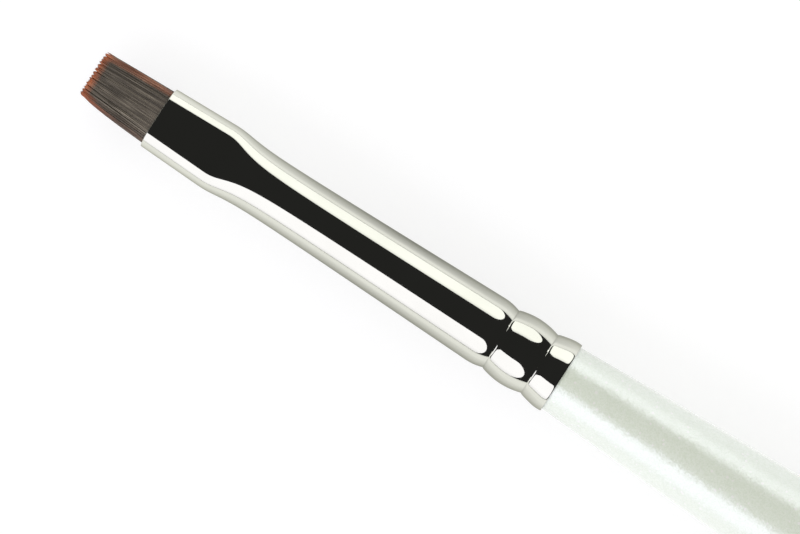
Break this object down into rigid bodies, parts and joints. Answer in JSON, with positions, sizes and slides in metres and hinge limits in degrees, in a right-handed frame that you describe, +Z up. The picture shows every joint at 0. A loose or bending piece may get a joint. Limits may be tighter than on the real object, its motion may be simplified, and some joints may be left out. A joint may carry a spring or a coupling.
{
  "type": "nail art brush",
  "caption": "Slim flat nail art brush: a short chisel tuft of synthetic filaments in a bright crimped metal ferrule on a turned pearl-white handle; the tuft flexes at the mouth.",
  "frame": {"origin": "on the brush's axis at the thickest place of the handle, where a hand holds it", "axes": "+X along the brush from the tuft to the handle's end, +Z up out of the tuft's upper flat face, +Y across the flat"},
  "size_m": [0.1767, 0.0074, 0.0074],
  "materials": {
    "pearl_lacquer": "hardwood under glossy pearl-white lacquer",
    "nickel": "bright nickel plate over drawn brass",
    "filament": "tapered grey-brown synthetic filament",
    "edge_filament": "tapered synthetic filament with a rust-coloured cast",
    "epoxy": "set amber epoxy",
    "glue": "thin film of set glue",
    "thread": "waxed binding thread"
  },
  "bodies": {
    "brush": {"handle": "pearl_lacquer", "tenon_glue": "glue", "ferrule": "nickel", "epoxy_plug": "epoxy", "filament_butts": "filament", "binding_thread": "thread"},
    "tuft": {"bristles_top": "filament", "bristles_bottom": "filament", "bristles_left": "edge_filament", "bristles_right": "edge_filament"}
  },
  "joints": [
    {"name": "tuft_flex", "type": "hinge", "parent": "brush", "child": "tuft", "pos_m": [-0.0764, 0, 0], "axis": [0, 1, 0], "range_deg": [-30, 30], "stiffness_Nm_per_rad": 0.0007}
  ]
}
